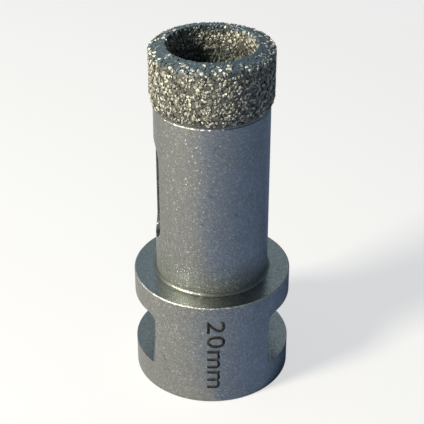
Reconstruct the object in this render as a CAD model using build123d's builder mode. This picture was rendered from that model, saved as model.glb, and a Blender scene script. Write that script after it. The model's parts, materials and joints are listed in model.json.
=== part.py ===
from build123d import *
from math import cos, radians, sin
import os

# Diamond core bit for dry drilling, screwed onto the threaded spindle of a grinder.
# +Z is the drilling axis and points to the cutting rim, and the hub rests on z = 0.
# The front of the bit is -Y, and the wrench flats of the hub face -X and +X.
# All sizes are in millimetres.

# Diameters: the cutting diameter drives the crown, the barrel and the hub's seat
cutting_diameter = 20.0
flange_ledge = 3.8
across_flats = 19.0
thread_diameter = 14.0

# Heights along the axis, from the resting face up
foot_disc_height = 5.0
wrench_gap_height = 10.1
flange_height = 4.3
barrel_height = 30.55
bare_band_height = 0.3
crown_height = 10.2

# Barrel: wall of the tube, and the step down to the thinner end that carries the grit
barrel_wall = 1.7
carrier_step = 0.12

# Slug slot, milled through one wall, with its direction turned from the front towards -X
slot_width = 6.0
slot_above_flange = 6.6
slot_below_shoulder = 5.75
slot_turn_from_front = 83.6

# Diamond grit and its brazing metal, outside, on the rim and inside the carrier
grit_outside = 0.72
grit_on_rim = 1.25
grit_inside = 0.6
rim_slope_drop = 0.95
rim_outer_fillet = 0.8
rim_inner_fillet = 0.3
skirt_taper_depth = 0.5
skirt_taper_height = 1.7
skirt_inner_fillet = 0.3

# Seat of the barrel in the hub, with the gap that the brazing metal fills
seat_depth = 3.0
braze_gap = 0.05
braze_leg = 0.45
braze_hollow_radius = 0.7

# Edges of the hub
base_chamfer = 0.15
flange_chamfer = 0.15
thread_mouth_chamfer = 0.6
gap_floor_fillet = 0.6
gap_ceiling_fillet = 1.2

# Radii worked out from the sizes
crown_radius = cutting_diameter / 2
carrier_radius = crown_radius - grit_outside
barrel_radius = carrier_radius + carrier_step
barrel_bore_radius = barrel_radius - barrel_wall
crown_bore_radius = barrel_bore_radius - grit_inside
seat_radius = barrel_radius + braze_gap
hub_radius = barrel_radius + flange_ledge
thread_radius = thread_diameter / 2

# Places along the axis worked out from the sizes
gap_ceiling_z = foot_disc_height + wrench_gap_height
flange_top_z = gap_ceiling_z + flange_height
seat_floor_z = flange_top_z - seat_depth
shoulder_z = flange_top_z + barrel_height
crown_base_z = shoulder_z + bare_band_height
rim_z = crown_base_z + crown_height
carrier_end_z = rim_z - grit_on_rim

# Hub: foot disc, wrench gaps and flange, turned and milled from one bar of steel
with BuildPart() as threaded_hub:
    with BuildSketch():
        Circle(hub_radius)
    extrude(amount=flange_top_z)
    end_edges = threaded_hub.edges().filter_by(GeomType.CIRCLE).sort_by(Axis.Z)
    chamfer(end_edges[0], base_chamfer)
    chamfer(end_edges[-1], flange_chamfer)

    with BuildSketch(Plane.XY.offset(seat_floor_z)):
        Circle(seat_radius)
    extrude(amount=seat_depth, mode=Mode.SUBTRACT)
    with BuildSketch():
        Circle(thread_radius)
    extrude(amount=seat_floor_z, mode=Mode.SUBTRACT)
    base_edges = threaded_hub.edges().filter_by(GeomType.CIRCLE).group_by(Axis.Z)[0]
    chamfer(base_edges.sort_by(SortBy.RADIUS)[0], thread_mouth_chamfer)

    with BuildSketch(Plane.XY.offset(foot_disc_height)):
        Rectangle(2 * hub_radius, 2 * hub_radius)
        Rectangle(across_flats, 2 * hub_radius, mode=Mode.SUBTRACT)
    extrude(amount=wrench_gap_height, mode=Mode.SUBTRACT)
    floor_corners = threaded_hub.edges().filter_by(Axis.Y).group_by(Axis.Z)[0]
    fillet(floor_corners, gap_floor_fillet)
    ceiling_corners = threaded_hub.edges().filter_by(Axis.Y).group_by(Axis.Z)[-1]
    fillet(ceiling_corners, gap_ceiling_fillet)

# Barrel: a tube that stands on the floor of the hub's seat, stepped down at its upper end
with BuildPart() as slotted_barrel:
    with BuildSketch(Plane.XZ):
        with BuildLine():
            Polyline(
                (barrel_bore_radius, seat_floor_z),
                (barrel_radius, seat_floor_z),
                (barrel_radius, shoulder_z - carrier_step),
                (carrier_radius, shoulder_z),
                (carrier_radius, carrier_end_z),
                (barrel_bore_radius, carrier_end_z),
                close=True,
            )
        make_face()
    revolve(axis=Axis.Z)

    slot_length = barrel_height - slot_above_flange - slot_below_shoulder
    slot_centre = (0, 0, flange_top_z + slot_above_flange + slot_length / 2)
    slot_turn = radians(slot_turn_from_front)
    slot_direction = (-sin(slot_turn), -cos(slot_turn), 0)
    with BuildSketch(Plane(origin=slot_centre, x_dir=(0, 0, 1), z_dir=slot_direction)):
        SlotOverall(slot_length, slot_width)
    extrude(amount=2 * barrel_radius, mode=Mode.SUBTRACT)

# Brazing metal: a hollow-faced ring in the corner between the barrel and the flange
with BuildPart() as braze_fillet:
    with BuildSketch(Plane.XZ):
        with BuildLine():
            on_barrel = (barrel_radius, flange_top_z + braze_leg)
            on_flange = (barrel_radius + braze_leg, flange_top_z)
            Polyline(on_barrel, (barrel_radius, flange_top_z), on_flange)
            RadiusArc(on_flange, on_barrel, braze_hollow_radius)
        make_face()
    revolve(axis=Axis.Z)

# Crown: diamond grit in brazing metal, wrapped over the carrier end of the barrel, with a
# rim that slopes down from its inner edge to its rounded outer edge
with BuildPart() as diamond_crown:
    with BuildSketch(Plane.XZ) as crown_section:
        with BuildLine():
            Polyline(
                (crown_bore_radius, crown_base_z),
                (crown_radius - skirt_taper_depth, crown_base_z),
                (crown_radius, crown_base_z + skirt_taper_height),
                (crown_radius, rim_z - rim_slope_drop),
                (crown_bore_radius, rim_z),
                close=True,
            )
        make_face()
        fillet(crown_section.vertices().group_by(Axis.X)[-1].sort_by(Axis.Y)[-1], rim_outer_fillet)
        fillet(crown_section.vertices().group_by(Axis.X)[0].sort_by(Axis.Y)[-1], rim_inner_fillet)
        fillet(crown_section.vertices().group_by(Axis.Y)[0].sort_by(Axis.X)[0], skirt_inner_fillet)
        with Locations((barrel_bore_radius, crown_base_z)):
            Rectangle(
                carrier_radius - barrel_bore_radius,
                carrier_end_z - crown_base_z,
                align=Align.MIN,
                mode=Mode.SUBTRACT,
            )
    revolve(axis=Axis.Z)

threaded_hub.part.label = "threaded_hub"
slotted_barrel.part.label = "slotted_barrel"
braze_fillet.part.label = "braze_fillet"
diamond_crown.part.label = "diamond_crown"

os.makedirs("parts", exist_ok=True)
export_step(threaded_hub.part, "parts/threaded_hub.step")
export_step(slotted_barrel.part, "parts/slotted_barrel.step")
export_step(braze_fillet.part, "parts/braze_fillet.step")
export_step(diamond_crown.part, "parts/diamond_crown.step")
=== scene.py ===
import json
import math

import bpy
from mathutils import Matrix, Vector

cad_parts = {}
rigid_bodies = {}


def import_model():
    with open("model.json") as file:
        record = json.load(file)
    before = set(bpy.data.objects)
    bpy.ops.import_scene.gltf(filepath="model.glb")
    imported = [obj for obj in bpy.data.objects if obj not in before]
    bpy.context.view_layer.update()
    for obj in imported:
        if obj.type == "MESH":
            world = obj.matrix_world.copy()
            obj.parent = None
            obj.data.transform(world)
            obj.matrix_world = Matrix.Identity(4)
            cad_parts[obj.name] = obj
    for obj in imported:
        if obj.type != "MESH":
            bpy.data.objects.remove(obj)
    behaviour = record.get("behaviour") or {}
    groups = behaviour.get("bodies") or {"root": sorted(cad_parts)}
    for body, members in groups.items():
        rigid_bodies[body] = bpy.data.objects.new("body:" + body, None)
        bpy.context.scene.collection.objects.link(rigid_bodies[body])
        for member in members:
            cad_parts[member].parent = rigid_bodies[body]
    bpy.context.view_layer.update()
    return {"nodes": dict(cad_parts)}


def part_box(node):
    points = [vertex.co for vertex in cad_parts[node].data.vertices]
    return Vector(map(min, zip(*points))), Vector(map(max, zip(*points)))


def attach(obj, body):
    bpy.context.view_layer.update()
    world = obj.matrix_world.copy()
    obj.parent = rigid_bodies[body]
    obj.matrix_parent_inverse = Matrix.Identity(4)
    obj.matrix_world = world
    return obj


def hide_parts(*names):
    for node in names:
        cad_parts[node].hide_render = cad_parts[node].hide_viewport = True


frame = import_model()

MM = 0.001
NEAR = 0.01 * MM

# ---------------------------------------------------------------- sizes, read from the frame
_, hub_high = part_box("threaded_hub")
barrel_low, barrel_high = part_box("slotted_barrel")
crown_low, crown_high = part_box("diamond_crown")
HUB_RADIUS = hub_high.x
FLANGE_TOP = hub_high.z
SEAT_FLOOR = barrel_low.z
CARRIER_END = barrel_high.z
CROWN_BASE = crown_low.z
RIM_TOP = crown_high.z
CROWN_RADIUS = crown_high.x

# The carrier end of the tube, and the grit's depth outside and inside it
GRIT_OUTSIDE = 0.72 * MM
GRIT_INSIDE = 0.6 * MM
BARREL_WALL = 1.7 * MM
CARRIER_RADIUS = CROWN_RADIUS - GRIT_OUTSIDE
BARREL_BORE_RADIUS = barrel_high.x - BARREL_WALL
CROWN_BORE_RADIUS = BARREL_BORE_RADIUS - GRIT_INSIDE
SKIRT_TAPER_DEPTH = 0.5 * MM
SKIRT_TAPER_HEIGHT = 1.7 * MM

# The bed of brazing metal, which lies below the tips of the grains
TIPS_OUTSIDE = 0.17 * MM
TIPS_INSIDE = 0.15 * MM
TIPS_ON_RIM = 0.08 * MM
BED_RADIUS = CROWN_RADIUS - TIPS_OUTSIDE
BED_BORE_RADIUS = CROWN_BORE_RADIUS + TIPS_INSIDE
BED_TOP = RIM_TOP - TIPS_ON_RIM
BED_RIM_ROUNDING = 0.7 * MM
BED_EDGE_ROUNDING = 0.2 * MM
BED_DIVISION = 0.17 * MM
RIM_SLOPE = 0.3276
RIM_CREST_RADIUS = CROWN_BORE_RADIUS + 0.35 * MM

# The grains: how wide they are, how far apart they lie and how deep they sit in the bed
OUTER_GRAIN = 0.56 * MM
INNER_GRAIN = 0.54 * MM
OUTER_SPACING = 0.36 * MM
INNER_SPACING = 0.34 * MM
OUTER_SEED = 11
INNER_SEED = 23
GRAIN_SINK = 0.04 * MM

# The spindle thread, M14 x 2
THREAD_ROOT_RADIUS = 7.0 * MM
THREAD_CREST_RADIUS = 5.918 * MM
THREAD_PITCH = 2.0 * MM
THREAD_TURNS = 12
RIDGE_HALF_WIDTH = 0.8875 * MM
RIDGE_CREST_SHARE = 0.28
MOUTH_CHAMFER = 0.6 * MM

# The size mark: a film on the hub
FILM_THICKNESS = 0.008 * MM

# The camera, and the height on the bit that the lamp points at
CAMERA_LENS = 105.1
CAMERA_PLACE = (0, -0.17585, 0.13720)
CAMERA_TILT = 31.43
AIM_HEIGHT = 0.03

STEEL = (0.34, 0.345, 0.335)
THREAD_STEEL = (0.36, 0.36, 0.35)
FILLET_BRAZE = (0.19, 0.2, 0.185)
CROWN_BRAZE = (0.2, 0.195, 0.165)


# ---------------------------------------------------------------- modelling helpers
def deselect_all():
    if bpy.context.object and bpy.context.object.mode != "OBJECT":
        bpy.ops.object.mode_set(mode="OBJECT")
    bpy.ops.object.select_all(action="DESELECT")


def make_active(piece):
    deselect_all()
    piece.select_set(True)
    bpy.context.view_layer.objects.active = piece


def apply_place(piece):
    make_active(piece)
    bpy.ops.object.transform_apply(location=True, rotation=True, scale=True)


def apply_modifiers(piece):
    make_active(piece)
    for modifier in list(piece.modifiers):
        bpy.ops.object.modifier_apply(modifier=modifier.name)


def discard(piece):
    bpy.data.objects.remove(piece)


def select_vertices(piece, test):
    """Leaves the piece in edit mode with the vertices chosen whose place passes the test."""
    make_active(piece)
    bpy.ops.object.mode_set(mode="EDIT")
    bpy.ops.mesh.select_mode(type="VERT")
    bpy.ops.mesh.select_all(action="DESELECT")
    bpy.ops.object.mode_set(mode="OBJECT")
    for vertex in piece.data.vertices:
        vertex.select = test(vertex.co)
    bpy.ops.object.mode_set(mode="EDIT")


def edge_length(piece, edge):
    first, second = (piece.data.vertices[index].co for index in edge.vertices)
    return (first - second).length


def add_section(name, inner, outer, low, high):
    """A flat rectangle standing beside the drilling axis."""
    deselect_all()
    bpy.ops.mesh.primitive_plane_add(
        size=1,
        location=((inner + outer) / 2, 0, (low + high) / 2),
        rotation=(math.pi / 2, 0, 0),
    )
    section = bpy.context.object
    section.name = name
    section.scale = (outer - inner, high - low, 1)
    apply_place(section)
    return section


def round_corner(section, corner_x, corner_z, radius):
    select_vertices(
        section, lambda place: abs(place.x - corner_x) < NEAR and abs(place.z - corner_z) < NEAR
    )
    bpy.ops.mesh.bevel(offset=radius, segments=6, affect="VERTICES")
    bpy.ops.object.mode_set(mode="OBJECT")


def divide_edges(section, spacing):
    """Divides each edge of an outline into lengths of about the spacing."""
    counts = {int(edge_length(section, edge) / spacing) for edge in section.data.edges}
    for cuts in sorted(counts - {0}, reverse=True):
        bpy.ops.object.mode_set(mode="EDIT")
        bpy.ops.mesh.select_mode(type="EDGE")
        bpy.ops.mesh.select_all(action="DESELECT")
        bpy.ops.object.mode_set(mode="OBJECT")
        for edge in section.data.edges:
            edge.select = int(edge_length(section, edge) / spacing) == cuts
        bpy.ops.object.mode_set(mode="EDIT")
        bpy.ops.mesh.subdivide(number_cuts=cuts)
        bpy.ops.object.mode_set(mode="OBJECT")


def spin_outline(section, steps, spacing=None):
    """Spins the section's outline once round the drilling axis into a closed ring."""
    make_active(section)
    bpy.ops.object.mode_set(mode="EDIT")
    bpy.ops.mesh.select_all(action="SELECT")
    bpy.ops.mesh.dissolve_faces()
    bpy.ops.mesh.select_all(action="SELECT")
    bpy.ops.mesh.delete(type="ONLY_FACE")
    bpy.ops.object.mode_set(mode="OBJECT")
    if spacing:
        divide_edges(section, spacing)
    turning = section.modifiers.new("turning", "SCREW")
    turning.axis = "Z"
    turning.angle = math.tau
    turning.steps = steps
    turning.render_steps = steps
    apply_modifiers(section)
    bpy.ops.object.mode_set(mode="EDIT")
    bpy.ops.mesh.select_mode(type="VERT")
    bpy.ops.mesh.select_all(action="SELECT")
    bpy.ops.mesh.normals_make_consistent(inside=False)
    bpy.ops.object.mode_set(mode="OBJECT")


def keep_common(piece, other):
    """Keeps only what the piece shares with the other, and discards the other."""
    boolean = piece.modifiers.new("common", "BOOLEAN")
    boolean.operation = "INTERSECT"
    boolean.solver = "EXACT"
    boolean.object = other
    apply_modifiers(piece)
    discard(other)


# ---------------------------------------------------------------- the crown
def slope_drop(radius):
    """How far the rim has sloped down at a radius, from the bed's bore outward."""
    return RIM_SLOPE * (radius - BED_BORE_RADIUS)


def model_braze_bed():
    """The braze skin on the carrier tube's end: a cap with a wall down each side of the tube."""
    bed = add_section("crown_braze_bed", BED_BORE_RADIUS, BED_RADIUS, CARRIER_END, BED_TOP)
    bpy.ops.object.mode_set(mode="EDIT")
    for cut in (BARREL_BORE_RADIUS, CARRIER_RADIUS):
        bpy.ops.mesh.select_all(action="SELECT")
        bpy.ops.mesh.bisect(plane_co=(cut, 0, 0), plane_no=(1, 0, 0))
    drop = (0, 0, CROWN_BASE - CARRIER_END)
    for near, far in ((BED_BORE_RADIUS, BARREL_BORE_RADIUS), (CARRIER_RADIUS, BED_RADIUS)):
        select_vertices(
            bed, lambda p: near - NEAR < p.x < far + NEAR and abs(p.z - CARRIER_END) < NEAR
        )
        bpy.ops.mesh.extrude_region_move(TRANSFORM_OT_translate={"value": drop})
    bpy.ops.mesh.select_all(action="SELECT")
    bpy.ops.mesh.bisect(plane_co=(0, 0, CROWN_BASE + SKIRT_TAPER_HEIGHT), plane_no=(0, 0, 1))
    select_vertices(bed, lambda p: p.x > BED_RADIUS - NEAR and p.z < CROWN_BASE + NEAR)
    bpy.ops.transform.translate(value=(-SKIRT_TAPER_DEPTH, 0, 0))
    for radius in (BARREL_BORE_RADIUS, CARRIER_RADIUS, BED_RADIUS):
        select_vertices(bed, lambda p: abs(p.x - radius) < NEAR and p.z > BED_TOP - NEAR)
        bpy.ops.transform.translate(value=(0, 0, -slope_drop(radius)))
    bpy.ops.object.mode_set(mode="OBJECT")
    round_corner(bed, BED_RADIUS, BED_TOP - slope_drop(BED_RADIUS), BED_RIM_ROUNDING)
    round_corner(bed, BED_BORE_RADIUS, BED_TOP, BED_EDGE_ROUNDING)
    round_corner(bed, BED_BORE_RADIUS, CROWN_BASE, BED_EDGE_ROUNDING)
    spin_outline(bed, steps=330, spacing=BED_DIVISION)
    mark_places(bed)
    roughen_bed(bed)
    return bed


def paint_group(piece, name, weight_at):
    group = piece.vertex_groups.new(name=name)
    for vertex in piece.data.vertices:
        radius = math.hypot(vertex.co.x, vertex.co.y)
        group.add([vertex.index], weight_at(radius, vertex.co.z), "REPLACE")


def mark_places(bed):
    """Marks the bed's open skin, and the parts of it that take grains, fewer on the rim."""

    def skin(radius, height):
        in_channel = BARREL_BORE_RADIUS - NEAR < radius < CARRIER_RADIUS + NEAR
        return 0.0 if in_channel and height < CARRIER_END + NEAR else 1.0

    def outside(radius, height):
        if height > CARRIER_END + 0.35 * MM:
            return 0.55 if radius > BED_BORE_RADIUS + 0.5 * MM else 0.0
        on_side = radius > CARRIER_RADIUS + 0.05 * MM
        return 1.0 if on_side and height > CROWN_BASE + 0.4 * MM else 0.0

    def inside(radius, height):
        on_wall = radius < BARREL_BORE_RADIUS - 0.15 * MM
        return 1.0 if on_wall and CROWN_BASE + 0.2 * MM < height < BED_TOP - 0.3 * MM else 0.0

    paint_group(bed, "skin", skin)
    paint_group(bed, "grit_outside", outside)
    paint_group(bed, "grit_inside", inside)


def roughen_bed(bed):
    """Braze that has run between the grains and set in small lumps."""
    lumps = bpy.data.textures.new("braze_lumps", "CLOUDS")
    lumps.noise_scale = 0.34 * MM
    lumps.noise_depth = 1
    displace = bed.modifiers.new("lumps", "DISPLACE")
    displace.texture = lumps
    displace.texture_coords = "LOCAL"
    displace.vertex_group = "skin"
    displace.mid_level = 0.5
    displace.strength = 0.26 * MM
    apply_modifiers(bed)


def model_grain_shapes(size, count=5):
    """Blocky crystals: cubes with their corners cut back, each chipped in its own way."""
    shapes = bpy.data.collections.new("grain_shapes")
    for seed in range(count):
        deselect_all()
        bpy.ops.mesh.primitive_cube_add(size=size)
        grain = bpy.context.object
        grain.name = "grain"
        bpy.ops.object.mode_set(mode="EDIT")
        bpy.ops.mesh.select_all(action="SELECT")
        bpy.ops.mesh.bevel(offset_type="PERCENT", offset_pct=50, affect="VERTICES")
        bpy.ops.mesh.select_all(action="SELECT")
        bpy.ops.mesh.remove_doubles(threshold=NEAR)
        bpy.ops.transform.vertex_random(offset=0.16 * size, seed=seed)
        bpy.ops.object.mode_set(mode="OBJECT")
        shapes.objects.link(grain)
    return shapes


def scatter_nodes(name, shapes, place, seed, spacing, clip):
    """Geometry nodes that set grains on the marked skin, each turned, sized and toned at random."""
    tree = bpy.data.node_groups.new(name, "GeometryNodeTree")
    tree.is_modifier = True
    tree.interface.new_socket("Geometry", in_out="INPUT", socket_type="NodeSocketGeometry")
    tree.interface.new_socket("Geometry", in_out="OUTPUT", socket_type="NodeSocketGeometry")
    nodes, links = tree.nodes, tree.links
    surface = nodes.new("NodeGroupInput")
    result = nodes.new("NodeGroupOutput")

    marked = nodes.new("GeometryNodeInputNamedAttribute")
    marked.data_type = "FLOAT"
    marked.inputs["Name"].default_value = place
    crowding = nodes.new("ShaderNodeTexNoise")
    crowding.inputs["Scale"].default_value = 900
    crowding.inputs["Detail"].default_value = 1
    crowded = ranged(nodes, links, crowding.outputs[0], 0.35, 1.0, 0.38, 0.52)
    points = nodes.new("GeometryNodeDistributePointsOnFaces")
    points.distribute_method = "POISSON"
    points.inputs["Distance Min"].default_value = spacing
    points.inputs["Density Max"].default_value = 1.5 / spacing**2
    points.inputs["Seed"].default_value = seed
    links.new(surface.outputs[0], points.inputs["Mesh"])
    density = math_node(nodes, links, "MULTIPLY", marked.outputs["Attribute"], crowded)
    links.new(density, points.inputs["Density Factor"])

    sunk = nodes.new("GeometryNodeSetPosition")
    inward = nodes.new("ShaderNodeVectorMath")
    inward.operation = "SCALE"
    inward.inputs["Scale"].default_value = -GRAIN_SINK
    links.new(points.outputs["Normal"], inward.inputs[0])
    links.new(points.outputs["Points"], sunk.inputs["Geometry"])
    links.new(inward.outputs[0], sunk.inputs["Offset"])

    crystals = nodes.new("GeometryNodeCollectionInfo")
    crystals.inputs["Collection"].default_value = shapes
    crystals.inputs["Separate Children"].default_value = True
    crystals.inputs["Reset Children"].default_value = True
    turn = random_vector(nodes, seed + 1, 0, math.tau)
    stretch = random_vector(nodes, seed + 2, 0.5, 1.15)
    placed = nodes.new("GeometryNodeInstanceOnPoints")
    placed.inputs["Pick Instance"].default_value = True
    links.new(sunk.outputs["Geometry"], placed.inputs["Points"])
    links.new(crystals.outputs[0], placed.inputs["Instance"])
    links.new(turn.outputs["Value"], placed.inputs["Rotation"])
    links.new(stretch.outputs["Value"], placed.inputs["Scale"])

    tone = nodes.new("FunctionNodeRandomValue")
    tone.data_type = "FLOAT"
    tone.inputs["Seed"].default_value = seed + 3
    kept = nodes.new("GeometryNodeStoreNamedAttribute")
    kept.data_type = "FLOAT"
    kept.domain = "INSTANCE"
    kept.inputs["Name"].default_value = "grain_tone"
    links.new(placed.outputs["Instances"], kept.inputs["Geometry"])
    links.new(tone.outputs[1], kept.inputs["Value"])
    real = nodes.new("GeometryNodeRealizeInstances")
    links.new(kept.outputs["Geometry"], real.inputs["Geometry"])
    dressed = dress_to_size(nodes, links, real.outputs["Geometry"], clip)
    links.new(dressed, result.inputs[0])
    return tree


def dress_to_size(nodes, links, grains, clip):
    """Levels the grains that stand past the cutting diameter, the bore or the sloping rim."""
    place = nodes.new("GeometryNodeInputPosition")
    split = nodes.new("ShaderNodeSeparateXYZ")
    links.new(place.outputs[0], split.inputs[0])
    flat = nodes.new("ShaderNodeCombineXYZ")
    links.new(split.outputs["X"], flat.inputs["X"])
    links.new(split.outputs["Y"], flat.inputs["Y"])
    length = nodes.new("ShaderNodeVectorMath")
    length.operation = "LENGTH"
    links.new(flat.outputs[0], length.inputs[0])
    radius, limit = clip
    held = math_node(nodes, links, limit, length.outputs["Value"], radius)
    shrink = math_node(nodes, links, "DIVIDE", held, length.outputs["Value"])
    levelled = nodes.new("ShaderNodeCombineXYZ")
    links.new(math_node(nodes, links, "MULTIPLY", split.outputs["X"], shrink), levelled.inputs["X"])
    links.new(math_node(nodes, links, "MULTIPLY", split.outputs["Y"], shrink), levelled.inputs["Y"])
    past_crest = math_node(nodes, links, "SUBTRACT", length.outputs["Value"], RIM_CREST_RADIUS)
    fallen = math_node(nodes, links, "MULTIPLY", past_crest, RIM_SLOPE)
    slope = math_node(nodes, links, "SUBTRACT", RIM_TOP, fallen)
    roof = math_node(nodes, links, "MINIMUM", slope, RIM_TOP)
    links.new(math_node(nodes, links, "MINIMUM", split.outputs["Z"], roof), levelled.inputs["Z"])
    moved = nodes.new("GeometryNodeSetPosition")
    links.new(grains, moved.inputs["Geometry"])
    links.new(levelled.outputs[0], moved.inputs["Position"])
    return moved.outputs["Geometry"]


def random_vector(nodes, seed, low, high):
    value = nodes.new("FunctionNodeRandomValue")
    value.data_type = "FLOAT_VECTOR"
    value.inputs["Min"].default_value = (low, low, low)
    value.inputs["Max"].default_value = (high, high, high)
    value.inputs["Seed"].default_value = seed
    return value


def scatter_grains(name, bed, size, place, seed, spacing, clip):
    shapes = model_grain_shapes(size)
    grains = bed.copy()
    grains.data = bed.data.copy()
    grains.name = name
    bpy.context.scene.collection.objects.link(grains)
    modifier = grains.modifiers.new("grains", "NODES")
    modifier.node_group = scatter_nodes(name + "_scatter", shapes, place, seed, spacing, clip)
    apply_modifiers(grains)
    for grain in list(shapes.objects):
        discard(grain)
    bpy.data.collections.remove(shapes)
    return grains


# ---------------------------------------------------------------- the spindle thread
def model_thread_ridge():
    """The thread's ridge, wound up the bore and trimmed to the mouth's chamfer and the seat."""
    ridge = add_section(
        "spindle_thread_ridge",
        THREAD_CREST_RADIUS,
        THREAD_ROOT_RADIUS + 0.02 * MM,
        -RIDGE_HALF_WIDTH,
        RIDGE_HALF_WIDTH,
    )
    select_vertices(ridge, lambda place: place.x < THREAD_CREST_RADIUS + NEAR)
    bpy.ops.transform.resize(value=(1, 1, RIDGE_CREST_SHARE), center_override=(0, 0, 0))
    bpy.ops.object.mode_set(mode="OBJECT")
    ridge.location.z = -1.5 * THREAD_PITCH
    apply_place(ridge)
    make_active(ridge)
    bpy.ops.object.mode_set(mode="EDIT")
    bpy.ops.mesh.select_all(action="SELECT")
    bpy.ops.mesh.delete(type="ONLY_FACE")
    bpy.ops.object.mode_set(mode="OBJECT")
    winding = ridge.modifiers.new("winding", "SCREW")
    winding.axis = "Z"
    winding.screw_offset = THREAD_PITCH
    winding.iterations = THREAD_TURNS
    winding.steps = 96
    winding.render_steps = 96
    winding.use_merge_vertices = False
    apply_modifiers(ridge)
    bpy.ops.object.mode_set(mode="EDIT")
    bpy.ops.mesh.select_all(action="SELECT")
    bpy.ops.mesh.fill_holes(sides=4)
    bpy.ops.mesh.select_all(action="SELECT")
    bpy.ops.mesh.normals_make_consistent(inside=False)
    bpy.ops.object.mode_set(mode="OBJECT")
    keep_common(ridge, model_bore_plug())
    return ridge


def model_bore_plug():
    """The space that the ridge may fill: the bore, coned at its mouth and flat at the seat."""
    start = MOUTH_CHAMFER - 0.2 * MM
    plug = add_section("bore_plug", 5 * MM, THREAD_ROOT_RADIUS + 0.2 * MM, start, SEAT_FLOOR)
    select_vertices(plug, lambda place: place.x < 5 * MM + NEAR and place.z < start + NEAR)
    bpy.ops.transform.translate(value=(0, 0, THREAD_ROOT_RADIUS - 4.8 * MM))
    bpy.ops.object.mode_set(mode="OBJECT")
    spin_outline(plug, steps=192)
    return plug


# ---------------------------------------------------------------- the size mark
def model_letter(character, left, right, top, bottom):
    """One letter of the mark, turned to read down the hub, as a block through its front."""
    deselect_all()
    bpy.ops.object.text_add()
    letter = bpy.context.object
    letter.data.body = character
    letter.data.extrude = 1.0
    letter.data.offset = 0.009
    letter.data.resolution_u = 6
    bpy.ops.object.convert(target="MESH")
    letter = bpy.context.object
    across = [vertex.co.x for vertex in letter.data.vertices]
    upward = [vertex.co.y for vertex in letter.data.vertices]
    widen = (top - bottom) / (max(across) - min(across))
    raise_by = (right - left) / (max(upward) - min(upward))
    letter.scale = (widen, raise_by, 1 * MM)
    letter.rotation_euler = (math.pi / 2, math.pi / 2, 0)
    letter.location = (left - min(upward) * raise_by, -HUB_RADIUS, top + min(across) * widen)
    apply_place(letter)
    return letter


def model_size_mark():
    """The bit's own diameter, as a film on the hub's front."""
    left, digit_side, small_side = -0.83 * MM, 2.16 * MM, 1.34 * MM
    letters = [
        model_letter("2", left, digit_side, 16.85 * MM, 14.36 * MM),
        model_letter("0", left, digit_side, 13.93 * MM, 11.44 * MM),
        model_letter("m", left, small_side, 10.91 * MM, 7.20 * MM),
        model_letter("m", left, small_side, 6.68 * MM, 2.97 * MM),
    ]
    deselect_all()
    for letter in letters:
        letter.select_set(True)
    bpy.context.view_layer.objects.active = letters[0]
    bpy.ops.object.join()
    mark = bpy.context.object
    mark.name = "size_mark"
    bpy.ops.object.mode_set(mode="EDIT")
    bpy.ops.mesh.select_all(action="SELECT")
    bpy.ops.mesh.remove_doubles(threshold=0.0001 * MM)
    bpy.ops.mesh.normals_make_consistent(inside=False)
    bpy.ops.object.mode_set(mode="OBJECT")
    film = add_section("film", HUB_RADIUS - 0.1 * MM, HUB_RADIUS + FILM_THICKNESS, 1 * MM, 18 * MM)
    spin_outline(film, steps=360)
    keep_common(mark, film)
    return mark


# ---------------------------------------------------------------- node helpers
def start_group(name, inputs, outputs):
    group = bpy.data.node_groups.new(name, "ShaderNodeTree")
    for label, value in inputs:
        socket = group.interface.new_socket(label, in_out="INPUT", socket_type="NodeSocketFloat")
        socket.default_value = value
    for label, kind in outputs:
        group.interface.new_socket(label, in_out="OUTPUT", socket_type=kind)
    return group, group.nodes.new("NodeGroupInput"), group.nodes.new("NodeGroupOutput")


def math_node(nodes, links, operation, first, second, clamp=False):
    node = nodes.new("ShaderNodeMath")
    node.operation = operation
    node.use_clamp = clamp
    for socket, value in ((node.inputs[0], first), (node.inputs[1], second)):
        if isinstance(value, (int, float)):
            socket.default_value = value
        else:
            links.new(value, socket)
    return node.outputs[0]


def ranged(nodes, links, value, low, high, start=0.0, end=1.0):
    node = nodes.new("ShaderNodeMapRange")
    node.inputs["From Min"].default_value = start
    node.inputs["From Max"].default_value = end
    node.inputs["To Min"].default_value = low
    node.inputs["To Max"].default_value = high
    links.new(value, node.inputs["Value"])
    return node.outputs["Result"]


def mixed(nodes, links, factor, first, second):
    """A colour between two, each given as a colour or a socket."""
    node = nodes.new("ShaderNodeMix")
    node.data_type = "RGBA"
    factor_socket, first_socket, second_socket = (node.inputs[index] for index in (0, 6, 7))
    for socket, value in ((factor_socket, factor), (first_socket, first), (second_socket, second)):
        if isinstance(value, tuple):
            socket.default_value = (*value, 1)
        elif isinstance(value, float):
            socket.default_value = value
        else:
            links.new(value, socket)
    return node.outputs[2]


def use_group(nodes, group, **values):
    node = nodes.new("ShaderNodeGroup")
    node.node_tree = group
    for label, value in values.items():
        node.inputs[label.replace("_", " ")].default_value = value
    return node


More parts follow.
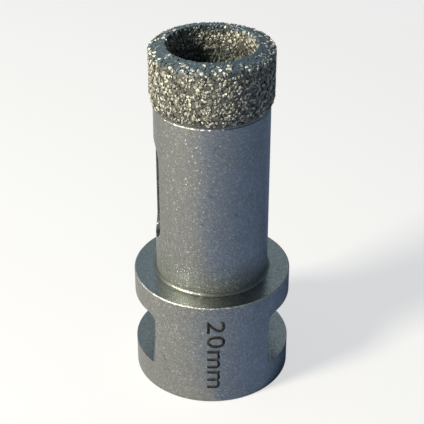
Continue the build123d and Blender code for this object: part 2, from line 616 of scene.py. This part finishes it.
# ---------------------------------------------------------------- node groups
def build_blast_grain():
    """Shot-blasted facets: each small cell leans and is toned on its own, and a few are glossy."""
    group, given, result = start_group(
        "blast_grain",
        (
            ("Cells per Metre", 5000.0),
            ("Lean", 0.2),
            ("Glint Lean", 0.5),
            ("Glint Rise", 0.0),
            ("Glints", 0.1),
        ),
        (
            ("Normal", "NodeSocketVector"),
            ("Tone", "NodeSocketFloat"),
            ("Glint", "NodeSocketFloat"),
            ("Fine", "NodeSocketFloat"),
        ),
    )
    nodes, links = group.nodes, group.links
    place = nodes.new("ShaderNodeTexCoord")
    cells = nodes.new("ShaderNodeTexVoronoi")
    links.new(place.outputs["Object"], cells.inputs["Vector"])
    links.new(given.outputs["Cells per Metre"], cells.inputs["Scale"])
    tone = nodes.new("ShaderNodeTexWhiteNoise")
    links.new(cells.outputs["Position"], tone.inputs["Vector"])
    share = math_node(nodes, links, "SUBTRACT", 1.0, given.outputs["Glints"])
    glint = math_node(nodes, links, "GREATER_THAN", tone.outputs["Value"], share)
    plain_lean, glint_lean = given.outputs["Lean"], given.outputs["Glint Lean"]
    steeper = math_node(nodes, links, "SUBTRACT", glint_lean, plain_lean)
    extra = math_node(nodes, links, "MULTIPLY", steeper, glint)
    amount = math_node(nodes, links, "ADD", plain_lean, extra)

    centred = nodes.new("ShaderNodeVectorMath")
    centred.operation = "SUBTRACT"
    centred.inputs[1].default_value = (0.5, 0.5, 0.5)
    links.new(cells.outputs["Color"], centred.inputs[0])
    lean = nodes.new("ShaderNodeVectorMath")
    lean.operation = "SCALE"
    links.new(centred.outputs[0], lean.inputs[0])
    links.new(amount, lean.inputs["Scale"])
    surface = nodes.new("ShaderNodeNewGeometry")
    leaned = nodes.new("ShaderNodeVectorMath")
    leaned.operation = "ADD"
    links.new(surface.outputs["Normal"], leaned.inputs[0])
    links.new(lean.outputs[0], leaned.inputs[1])
    rise = nodes.new("ShaderNodeCombineXYZ")
    lift = math_node(nodes, links, "MULTIPLY", given.outputs["Glint Rise"], glint)
    links.new(lift, rise.inputs["Z"])
    raised = nodes.new("ShaderNodeVectorMath")
    raised.operation = "ADD"
    links.new(leaned.outputs[0], raised.inputs[0])
    links.new(rise.outputs[0], raised.inputs[1])
    facing = nodes.new("ShaderNodeVectorMath")
    facing.operation = "NORMALIZE"
    links.new(raised.outputs[0], facing.inputs[0])

    fine = nodes.new("ShaderNodeTexNoise")
    fine.inputs["Detail"].default_value = 2
    links.new(place.outputs["Object"], fine.inputs["Vector"])
    finer = math_node(nodes, links, "MULTIPLY", given.outputs["Cells per Metre"], 1.9)
    links.new(finer, fine.inputs["Scale"])
    links.new(facing.outputs[0], result.inputs["Normal"])
    links.new(tone.outputs["Value"], result.inputs["Tone"])
    links.new(glint, result.inputs["Glint"])
    links.new(fine.outputs["Fac"], result.inputs["Fine"])
    return group


def build_edge_wear_sheen_and_inner_shade():
    """Paler outer corners from wear and a painted highlight, and painted shade in inner ones, both
    found from the shape itself.
    """
    group, given, result = start_group(
        "edge_wear_sheen_and_inner_shade",
        (("Wear Sheen Width", 0.3 * MM), ("Dust Width", 0.9 * MM)),
        (("Wear Sheen", "NodeSocketFloat"), ("Dust", "NodeSocketFloat")),
    )
    nodes, links = group.nodes, group.links
    # Ambient occlusion finds inner corners, which take a painted shade, and outer corners, which
    # take wear and a painted highlight.
    for label, inward, gain in (("Wear Sheen", True, 1.6), ("Dust", False, 1.2)):
        reach = nodes.new("ShaderNodeAmbientOcclusion")
        reach.inside = inward
        reach.only_local = inward
        reach.samples = 6
        links.new(given.outputs[label + " Width"], reach.inputs["Distance"])
        closed = math_node(nodes, links, "SUBTRACT", 1.0, reach.outputs["AO"])
        mask = math_node(nodes, links, "MULTIPLY", closed, gain, clamp=True)
        links.new(mask, result.inputs[label])
    return group


def build_mottle():
    """Broad, faint clouding from handling and heat, with a few darker specks."""
    group, given, result = start_group(
        "mottle",
        (("Clouds per Metre", 220.0), ("Specks per Metre", 900.0)),
        (("Cloud", "NodeSocketFloat"), ("Speck", "NodeSocketFloat")),
    )
    nodes, links = group.nodes, group.links
    place = nodes.new("ShaderNodeTexCoord")
    cloud = nodes.new("ShaderNodeTexNoise")
    cloud.inputs["Detail"].default_value = 4
    links.new(place.outputs["Object"], cloud.inputs["Vector"])
    links.new(given.outputs["Clouds per Metre"], cloud.inputs["Scale"])
    spots = nodes.new("ShaderNodeTexNoise")
    spots.inputs["Detail"].default_value = 1
    links.new(place.outputs["Object"], spots.inputs["Vector"])
    links.new(given.outputs["Specks per Metre"], spots.inputs["Scale"])
    links.new(cloud.outputs["Fac"], result.inputs["Cloud"])
    sharp = ranged(nodes, links, spots.outputs["Fac"], 0.0, 1.0, 0.68, 0.76)
    links.new(sharp, result.inputs["Speck"])
    return group


def build_place_marks():
    """Where a point lies: on a face square to the axis, at the rim, down the bore, at the foot."""
    group, _, result = start_group(
        "place_marks",
        (),
        (
            ("Square", "NodeSocketFloat"),
            ("Rim", "NodeSocketFloat"),
            ("Depth", "NodeSocketFloat"),
            ("Foot", "NodeSocketFloat"),
            ("Radius", "NodeSocketFloat"),
        ),
    )
    nodes, links = group.nodes, group.links
    surface = nodes.new("ShaderNodeNewGeometry")
    facing = nodes.new("ShaderNodeSeparateXYZ")
    links.new(surface.outputs["Normal"], facing.inputs[0])
    upright = math_node(nodes, links, "ABSOLUTE", facing.outputs["Z"], 0.0)
    place = nodes.new("ShaderNodeTexCoord")
    split = nodes.new("ShaderNodeSeparateXYZ")
    links.new(place.outputs["Object"], split.inputs[0])
    height = split.outputs["Z"]
    level = nodes.new("ShaderNodeVectorMath")
    level.operation = "MULTIPLY"
    level.inputs[1].default_value = (1, 1, 0)
    links.new(place.outputs["Object"], level.inputs[0])
    radius = nodes.new("ShaderNodeVectorMath")
    radius.operation = "LENGTH"
    links.new(level.outputs[0], radius.inputs[0])
    for label, value, low, high, start, end in (
        ("Square", upright, 0.0, 1.0, 0.9, 0.98),
        ("Rim", height, 0.0, 1.0, RIM_TOP - 1.6 * MM, RIM_TOP - 0.8 * MM),
        ("Depth", height, 1.0, 0.0, RIM_TOP - 4.6 * MM, RIM_TOP - 1.9 * MM),
        ("Foot", height, 1.0, 0.0, FLANGE_TOP, FLANGE_TOP + 6 * MM),
    ):
        links.new(ranged(nodes, links, value, low, high, start, end), result.inputs[label])
    links.new(radius.outputs["Value"], result.inputs["Radius"])
    return group


# ---------------------------------------------------------------- materials
def new_material(name):
    material = bpy.data.materials.new(name)
    material.use_nodes = True
    return material, material.node_tree.nodes, material.node_tree.links


def add_bump(nodes, links, shader, height, normal, distance):
    bump = nodes.new("ShaderNodeBump")
    bump.inputs["Distance"].default_value = distance
    bump.inputs["Strength"].default_value = 0.6
    links.new(height, bump.inputs["Height"])
    links.new(normal, bump.inputs["Normal"])
    links.new(bump.outputs["Normal"], shader.inputs["Normal"])


def blasted_steel(
    name, base, cells, lean, dull, darkened=0.0, corner_shading=0.45, reach=0.9 * MM, foot_shade_and_roughening=0.0
):
    """Shot-blasted steel: smoother on turned faces, with painted shade in corners, a bluish painted
    shade on faces square to the axis, painted shade inside the tube and towards the foot, and paler
    outer edges from wear and a painted highlight.
    """
    material, nodes, links = new_material(name)
    shader = nodes["Principled BSDF"]
    shader.inputs["Metallic"].default_value = 1.0
    corner = use_group(nodes, edge_wear_sheen_and_inner_shade, Dust_Width=reach)
    grain = use_group(nodes, blast_grain, Cells_per_Metre=cells, Glint_Rise=0.09, Glints=0.16)
    cloud = use_group(nodes, mottle)
    place = use_group(nodes, place_marks)
    flat = place.outputs["Square"]
    links.new(ranged(nodes, links, flat, lean, 0.2 * lean), grain.inputs["Lean"])
    links.new(ranged(nodes, links, flat, 0.5, 0.1), grain.inputs["Glint Lean"])

    dark = tuple(0.9 * part for part in base)
    pale = tuple(1.1 * part for part in base)
    blasted = mixed(nodes, links, grain.outputs["Tone"], dark, pale)
    # Faces square to the axis are mixed towards a darker blue grey: a painted shade and a painted
    # blue reflection.
    turned = math_node(nodes, links, "MULTIPLY", flat, 0.4)
    toned = mixed(nodes, links, turned, blasted, (0.22, 0.275, 0.29))
    # Towards the foot the barrel is mixed towards a darker grey-green and made rougher: the colour
    # is a painted shade at the joint with the flange.
    foot_shade_and_dull = math_node(nodes, links, "MULTIPLY", place.outputs["Foot"], foot_shade_and_roughening)
    foot_shaded = mixed(nodes, links, foot_shade_and_dull, toned, (0.25, 0.27, 0.24))
    clouds = ranged(nodes, links, cloud.outputs["Cloud"], 0.0, 0.22, 0.35, 0.7)
    clouded = mixed(nodes, links, clouds, foot_shaded, (0.25, 0.225, 0.19))
    specks = math_node(nodes, links, "MULTIPLY", cloud.outputs["Speck"], 0.3)
    specked = mixed(nodes, links, specks, clouded, (0.09, 0.08, 0.07))
    # Inner corners, found by ambient occlusion, are mixed towards dark grey: a painted shade.
    corner_shade_mix = math_node(nodes, links, "MULTIPLY", corner.outputs["Dust"], corner_shading)
    corner_shaded = mixed(nodes, links, corner_shade_mix, specked, (0.085, 0.085, 0.08))
    # Inside the tube and on the slot walls the steel is mixed towards dark teal: a painted shade.
    cut = ranged(nodes, links, place.outputs["Radius"], 1.0, 0.0, 9.1 * MM, 9.36 * MM)
    inner = math_node(nodes, links, "MULTIPLY", cut, darkened)
    tube_shaded = mixed(nodes, links, inner, corner_shaded, (0.08, 0.11, 0.125))
    # Outer edges are mixed towards a paler grey: wear, and a painted highlight along the edges.
    wear_and_sheen = math_node(nodes, links, "MULTIPLY", corner.outputs["Wear Sheen"], 0.12)
    worn_and_sheened = mixed(nodes, links, wear_and_sheen, tube_shaded, (0.47, 0.465, 0.44))
    glint = math_node(nodes, links, "MULTIPLY", grain.outputs["Glint"], 0.34)
    links.new(mixed(nodes, links, glint, worn_and_sheened, (0.6, 0.6, 0.56)), shader.inputs["Base Color"])
    facets = ranged(nodes, links, grain.outputs["Glint"], dull, dull - 0.04)
    smoother = math_node(nodes, links, "MULTIPLY", flat, -0.28)
    duller = math_node(nodes, links, "MULTIPLY", foot_shade_and_dull, 0.24)
    evened = math_node(nodes, links, "ADD", facets, smoother)
    rough = math_node(nodes, links, "ADD", evened, duller)
    patchy = ranged(nodes, links, cloud.outputs["Cloud"], -0.03, 0.05, 0.3, 0.7)
    links.new(math_node(nodes, links, "ADD", rough, patchy), shader.inputs["Roughness"])
    add_bump(nodes, links, shader, grain.outputs["Fine"], grain.outputs["Normal"], 0.008 * MM)
    return material


def braze_metal(name, base, metallic, lean, crevice, bore_shade=0.0):
    """Brazing metal: stained straw, with a painted blue reflection at the rim, painted shade
    between the grains and a painted shadow down the bore.
    """
    material, nodes, links = new_material(name)
    shader = nodes["Principled BSDF"]
    shader.inputs["Metallic"].default_value = metallic
    grain = use_group(nodes, blast_grain, Cells_per_Metre=6000.0, Lean=lean, Glint_Lean=2 * lean)
    cloud = use_group(nodes, mottle, Clouds_per_Metre=900.0, Specks_per_Metre=2600.0)
    corner = use_group(nodes, edge_wear_sheen_and_inner_shade, Dust_Width=0.45 * MM)
    place = use_group(nodes, place_marks)
    dark = tuple(0.75 * part for part in base)
    pale = tuple(1.25 * part for part in base)
    toned = mixed(nodes, links, grain.outputs["Tone"], dark, pale)
    tints = ranged(nodes, links, cloud.outputs["Cloud"], 0.0, 0.35, 0.42, 0.65)
    tinted = mixed(nodes, links, tints, toned, (0.22, 0.19, 0.13))
    # At the rim the braze is mixed towards dark blue: a painted reflection of the blue overhead.
    rim_sky_tint = math_node(nodes, links, "MULTIPLY", place.outputs["Rim"], 0.85)
    sky_tinted = mixed(nodes, links, rim_sky_tint, tinted, (0.08, 0.125, 0.16))
    # Crevices between the grains, found by ambient occlusion, are mixed towards near black: a
    # painted shade.
    corner_shade_mix = math_node(nodes, links, "MULTIPLY", corner.outputs["Dust"], crevice)
    corner_shaded = mixed(nodes, links, corner_shade_mix, sky_tinted, (0.02, 0.022, 0.02))
    # Down the bore the braze is mixed towards near black: a painted shadow.
    bore = ranged(nodes, links, place.outputs["Radius"], bore_shade, 0.0, 7.9 * MM, 8.1 * MM)
    deep_shade = math_node(nodes, links, "MULTIPLY", place.outputs["Depth"], bore)
    colour = mixed(nodes, links, deep_shade, corner_shaded, (0.03, 0.036, 0.032))
    links.new(colour, shader.inputs["Base Color"])
    links.new(ranged(nodes, links, grain.outputs["Tone"], 0.5, 0.36), shader.inputs["Roughness"])
    add_bump(nodes, links, shader, grain.outputs["Fine"], grain.outputs["Normal"], 0.02 * MM)
    return material


def grain_crystal(name, bore_shade):
    """Diamond grit, half wetted with braze: from smoky to pale straw, grain by grain, with a
    painted blue reflection at the rim, painted shade between the grains and a painted shadow down
    the bore.
    """
    material, nodes, links = new_material(name)
    shader = nodes["Principled BSDF"]
    shader.inputs["Metallic"].default_value = 0.3
    tone = nodes.new("ShaderNodeAttribute")
    tone.attribute_name = "grain_tone"
    colours = nodes.new("ShaderNodeValToRGB")
    ramp = colours.color_ramp
    ramp.elements[0].color = (0.03, 0.03, 0.026, 1)
    ramp.elements[1].color = (0.75, 0.74, 0.63, 1)
    middle = ramp.elements.new(0.5)
    middle.color = (0.38, 0.37, 0.31, 1)
    links.new(tone.outputs["Fac"], colours.inputs["Fac"])
    cloud = use_group(nodes, mottle, Clouds_per_Metre=2500.0, Specks_per_Metre=6000.0)
    stains = ranged(nodes, links, cloud.outputs["Cloud"], 0.0, 0.45, 0.45, 0.7)
    stained = mixed(nodes, links, stains, colours.outputs["Color"], (0.16, 0.16, 0.145))
    corner = use_group(nodes, edge_wear_sheen_and_inner_shade, Dust_Width=0.45 * MM)
    # At the rim the duller grains are mixed towards dark blue: a painted reflection of the blue
    # overhead.
    rim_tint_share = ranged(nodes, links, tone.outputs["Fac"], 0.72, 0.0, 0.7, 0.82)
    place = use_group(nodes, place_marks)
    rim_sky_tint = math_node(nodes, links, "MULTIPLY", place.outputs["Rim"], rim_tint_share)
    sky_tinted = mixed(nodes, links, rim_sky_tint, stained, (0.07, 0.11, 0.14))
    # Crevices between the grains are mixed towards near black: a painted shade.
    corner_shaded = mixed(nodes, links, corner.outputs["Dust"], sky_tinted, (0.018, 0.02, 0.018))
    # Down the bore the grains are mixed towards dark teal: a painted shadow.
    deep_shade = math_node(nodes, links, "MULTIPLY", place.outputs["Depth"], bore_shade)
    colour = mixed(nodes, links, deep_shade, corner_shaded, (0.06, 0.075, 0.072))
    links.new(colour, shader.inputs["Base Color"])
    roughness = ranged(nodes, links, cloud.outputs["Cloud"], 0.42, 0.62, 0.3, 0.7)
    links.new(roughness, shader.inputs["Roughness"])
    chips = use_group(nodes, blast_grain, Cells_per_Metre=3200.0, Lean=0.6, Glints=0.0)
    add_bump(nodes, links, shader, cloud.outputs["Cloud"], chips.outputs["Normal"], 0.02 * MM)
    return material


def mark_film(name):
    """Dark oxide of a marked letter, thin where the blasted grain stands highest."""
    material, nodes, links = new_material(name)
    shader = nodes["Principled BSDF"]
    shader.inputs["Metallic"].default_value = 0.4
    grain = use_group(nodes, blast_grain, Cells_per_Metre=6500.0, Lean=0.25)
    toned = mixed(nodes, links, grain.outputs["Tone"], (0.018, 0.017, 0.012), (0.05, 0.048, 0.036))
    links.new(toned, shader.inputs["Base Color"])
    links.new(ranged(nodes, links, grain.outputs["Fine"], 0.5, 0.75), shader.inputs["Roughness"])
    links.new(grain.outputs["Normal"], shader.inputs["Normal"])
    return material


# ---------------------------------------------------------------- studio
def on_sphere(left_of_front, elevation, distance):
    turn, rise = math.radians(left_of_front), math.radians(elevation)
    return (
        -distance * math.sin(turn) * math.cos(rise),
        -distance * math.cos(turn) * math.cos(rise),
        distance * math.sin(rise) + AIM_HEIGHT,
    )


def add_softbox(name, left_of_front, elevation, distance, size, power, colour):
    lamp = bpy.data.lights.new(name, "AREA")
    lamp.shape = "DISK"
    lamp.size = size
    lamp.energy = power
    lamp.color = colour
    softbox = bpy.data.objects.new(name, lamp)
    softbox.location = on_sphere(left_of_front, elevation, distance)
    aim = -softbox.location
    aim.z += AIM_HEIGHT
    softbox.rotation_euler = aim.to_track_quat("-Z", "Y").to_euler()
    bpy.context.scene.collection.objects.link(softbox)


def lay_floor():
    """White paper to the eye and in polished metal, and pale grey as a source of light."""
    deselect_all()
    bpy.ops.mesh.primitive_plane_add(size=6, location=(0, 0, 0))
    floor = bpy.context.object
    floor.name = "studio_floor"
    material, nodes, links = new_material("floor_paper")
    shader = nodes["Principled BSDF"]
    shader.inputs["Base Color"].default_value = (0.22, 0.22, 0.22, 1)
    shader.inputs["Roughness"].default_value = 0.95
    shader.inputs["Emission Color"].default_value = (1, 1, 1, 1)
    path = nodes.new("ShaderNodeLightPath")
    to_eye, through = path.outputs["Is Camera Ray"], path.outputs["Is Transmission Ray"]
    seen = math_node(nodes, links, "MAXIMUM", to_eye, through)
    direct = math_node(nodes, links, "MULTIPLY", seen, 0.63)
    mirrored = math_node(nodes, links, "MULTIPLY", path.outputs["Is Glossy Ray"], 0.3)
    links.new(math_node(nodes, links, "ADD", direct, mirrored), shader.inputs["Emission Strength"])
    floor.data.materials.append(material)


def lay_blue_card():
    """A dull blue card on the floor at the right and the front right, for the shaded side."""
    deselect_all()
    bpy.ops.mesh.primitive_plane_add(size=0.3, location=(0.154, 0, 0.0002))
    card = bpy.context.object
    card.name = "blue_card"
    apply_place(card)
    bpy.ops.object.mode_set(mode="EDIT")
    bpy.ops.mesh.select_all(action="SELECT")
    bpy.ops.mesh.bisect(plane_co=(0, -0.008, 0), plane_no=(0, 1, 0))
    select_vertices(card, lambda place: place.x < 0.005 and place.y < -0.1)
    bpy.ops.transform.translate(value=(-0.079, 0, 0))
    bpy.ops.object.mode_set(mode="OBJECT")
    material, nodes, _ = new_material("card_blue")
    shader = nodes["Principled BSDF"]
    shader.inputs["Base Color"].default_value = (0.17, 0.24, 0.42, 1)
    shader.inputs["Roughness"].default_value = 0.95
    card.data.materials.append(material)
    card.visible_camera = False
    card.visible_shadow = False
    card.visible_diffuse = False


def hang_world():
    """Pale walls at the left, a deep blue wall at the right."""
    world = bpy.data.worlds.new("studio")
    world.use_nodes = True
    nodes, links = world.node_tree.nodes, world.node_tree.links
    place = nodes.new("ShaderNodeTexCoord")
    toward_right = nodes.new("ShaderNodeVectorMath")
    toward_right.operation = "DOT_PRODUCT"
    toward_right.inputs[1].default_value = (0.86, -0.5, 0)
    links.new(place.outputs["Generated"], toward_right.inputs[0])
    side = ranged(nodes, links, toward_right.outputs["Value"], 0.0, 1.0, -0.4, 0.6)
    walls = mixed(nodes, links, side, (0.40, 0.48, 0.52), (0.07, 0.12, 0.18))
    split = nodes.new("ShaderNodeSeparateXYZ")
    links.new(place.outputs["Generated"], split.inputs[0])
    overhead = ranged(nodes, links, split.outputs["Z"], 0.0, 1.0, 0.6, 1.0)
    colour = mixed(nodes, links, overhead, walls, (0.13, 0.18, 0.26))
    links.new(colour, nodes["Background"].inputs["Color"])
    nodes["Background"].inputs["Strength"].default_value = 1.0
    bpy.context.scene.world = world


def build_studio():
    lay_floor()
    lay_blue_card()
    hang_world()
    add_softbox("key", 59, 39, 0.5, 0.12, 4.85, (1.0, 0.93, 0.78))
    bpy.context.scene.view_settings.view_transform = "Standard"


def set_camera():
    lens = bpy.data.cameras.new("camera")
    lens.lens = CAMERA_LENS
    lens.sensor_width = 36
    lens.clip_start = 0.01
    lens.clip_end = 20
    camera = bpy.data.objects.new("camera", lens)
    camera.location = CAMERA_PLACE
    camera.rotation_euler = (math.radians(90 - CAMERA_TILT), 0, 0)
    bpy.context.scene.collection.objects.link(camera)
    bpy.context.scene.camera = camera


# ---------------------------------------------------------------- making
def finish_piece(piece, material, node=None):
    piece.data.materials.clear()
    piece.data.materials.append(material)
    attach(piece, "root")
    if node:
        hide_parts(node)


def dress_node(node, material):
    frame["nodes"][node].material_slots[0].material = material


bed = model_braze_bed()
outside = scatter_grains(
    "diamond_grains_outside",
    bed,
    OUTER_GRAIN,
    "grit_outside",
    OUTER_SEED,
    OUTER_SPACING,
    (CROWN_RADIUS, "MINIMUM"),
)
inside = scatter_grains(
    "diamond_grains_inside",
    bed,
    INNER_GRAIN,
    "grit_inside",
    INNER_SEED,
    INNER_SPACING,
    (CROWN_BORE_RADIUS, "MAXIMUM"),
)
ridge = model_thread_ridge()
mark = model_size_mark()

blast_grain = build_blast_grain()
edge_wear_sheen_and_inner_shade = build_edge_wear_sheen_and_inner_shade()
mottle = build_mottle()
place_marks = build_place_marks()

hub_steel = blasted_steel("hub_blasted_steel", STEEL, 5200.0, 0.36, 0.54)
tube_steel = blasted_steel(
    "barrel_blasted_steel",
    STEEL,
    5000.0,
    0.24,
    0.47,
    darkened=0.65,
    corner_shading=0.6,
    reach=2.2 * MM,
    foot_shade_and_roughening=1.0,
)
thread_steel = blasted_steel("thread_steel", THREAD_STEEL, 7000.0, 0.1, 0.54)
fillet_braze = braze_metal("fillet_braze", FILLET_BRAZE, 1.0, 0.1, 0.0)
crown_braze = braze_metal("crown_braze", CROWN_BRAZE, 0.6, 0.5, 0.95, bore_shade=0.8)
dress_node("threaded_hub", hub_steel)
dress_node("slotted_barrel", tube_steel)
dress_node("braze_fillet", fillet_braze)
finish_piece(ridge, thread_steel)
finish_piece(mark, mark_film("mark_oxide"))
finish_piece(bed, crown_braze, "diamond_crown")
finish_piece(outside, grain_crystal("diamond_crystal", 0.0), "diamond_crown")
finish_piece(inside, grain_crystal("diamond_in_bore", 0.8), "diamond_crown")

build_studio()
set_camera()
